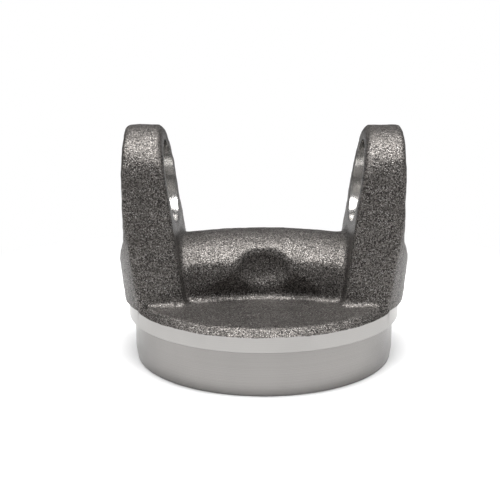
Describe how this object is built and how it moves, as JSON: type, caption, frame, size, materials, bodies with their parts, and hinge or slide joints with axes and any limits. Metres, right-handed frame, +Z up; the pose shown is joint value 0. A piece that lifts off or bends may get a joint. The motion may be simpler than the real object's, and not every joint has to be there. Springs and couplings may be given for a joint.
{
  "type": "weld yoke",
  "caption": "Forged steel yoke with two bored ears on a round plate, a web between them, and a turned pilot and weld shoulder below that fit a drive tube.",
  "frame": {"origin": "middle of the part's lower end face, on the shaft's axis", "axes": "+Z up along the shaft's axis towards the ears, +X along the bores' axis"},
  "size_m": [0.1078, 0.1016, 0.0862],
  "materials": {
    "forged_steel": "forged and shot blasted, dark grey; pilot, weld shoulder, end face and bores turned bright"
  },
  "bodies": {
    "root": {"weld_yoke": "forged_steel"}
  },
  "joints": []
}
